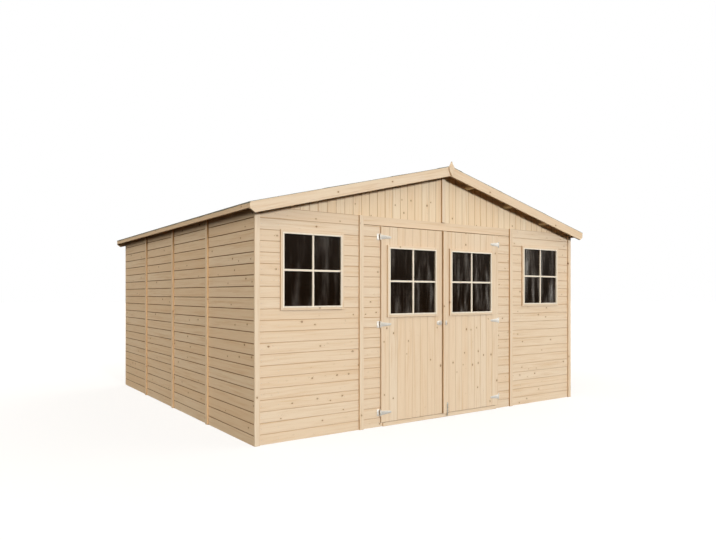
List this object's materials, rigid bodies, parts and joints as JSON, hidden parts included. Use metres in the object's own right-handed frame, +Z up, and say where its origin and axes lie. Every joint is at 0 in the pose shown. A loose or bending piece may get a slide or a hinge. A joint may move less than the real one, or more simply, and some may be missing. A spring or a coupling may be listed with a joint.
{
  "type": "garden shed",
  "caption": "Garden shed of pale pine wall panels with a pair of glazed ledged doors on strap hinges, barred front windows and a low felted gable roof.",
  "frame": {"origin": "on the ground under the middle of the shed's bounding box", "axes": "+X along the front to the right as seen by someone facing the doors, +Y from the front to the back, +Z up; the doors face -Y"},
  "size_m": [4.168, 4.236, 2.4722],
  "materials": {
    "pine_boards": "planed pale pine boards, unpainted, with small knots",
    "frame_timber": "sawn pine battens, unpainted",
    "roofing_felt": "grey-green mineral roofing felt",
    "zinc_steel": "bright zinc-plated pressed steel",
    "window_glass": "clear flat glazing, dark from outside"
  },
  "bodies": {
    "shed": {"floor_bearers": "frame_timber", "floor_boards": "pine_boards", "door_threshold": "pine_boards", "left_wall_panels": "pine_boards", "right_wall_panels": "pine_boards", "back_wall_panels": "pine_boards", "front_left_panel": "pine_boards", "front_right_panel": "pine_boards", "door_side_panels": "pine_boards", "door_header": "pine_boards", "front_gable": "pine_boards", "back_gable": "pine_boards", "corner_boards": "pine_boards", "wall_cover_strips": "pine_boards", "gable_cover_strips": "pine_boards", "wall_studs": "frame_timber", "wall_rails": "frame_timber", "lintels_and_sills": "frame_timber", "roof_purlins": "frame_timber", "left_roof_deck": "pine_boards", "right_roof_deck": "pine_boards", "left_roof_felt": "roofing_felt", "right_roof_felt": "roofing_felt", "ridge_felt": "roofing_felt", "bargeboards": "pine_boards", "eave_boards": "pine_boards", "finials": "pine_boards", "window_trims": "pine_boards", "window_panes": "window_glass", "hinge_plates": "zinc_steel"},
    "left_door": {"left_door_leaf": "pine_boards", "left_door_ledges": "frame_timber", "left_door_trim": "pine_boards", "left_door_pane": "window_glass", "left_door_hinges": "zinc_steel", "left_door_lock": "zinc_steel"},
    "right_door": {"right_door_leaf": "pine_boards", "right_door_ledges": "frame_timber", "right_door_trim": "pine_boards", "right_door_pane": "window_glass", "right_door_hinges": "zinc_steel", "right_door_strip": "pine_boards", "right_door_keeper": "zinc_steel", "right_door_bolt": "zinc_steel"}
  },
  "joints": [
    {"name": "left_door_hinge", "type": "hinge", "parent": "shed", "child": "left_door", "pos_m": [-0.772, -2.0045, 0.925], "axis": [0, 0, -1], "range_deg": [0, 165]},
    {"name": "right_door_hinge", "type": "hinge", "parent": "shed", "child": "right_door", "pos_m": [0.772, -2.0045, 0.925], "axis": [0, 0, 1], "range_deg": [0, 165]}
  ]
}
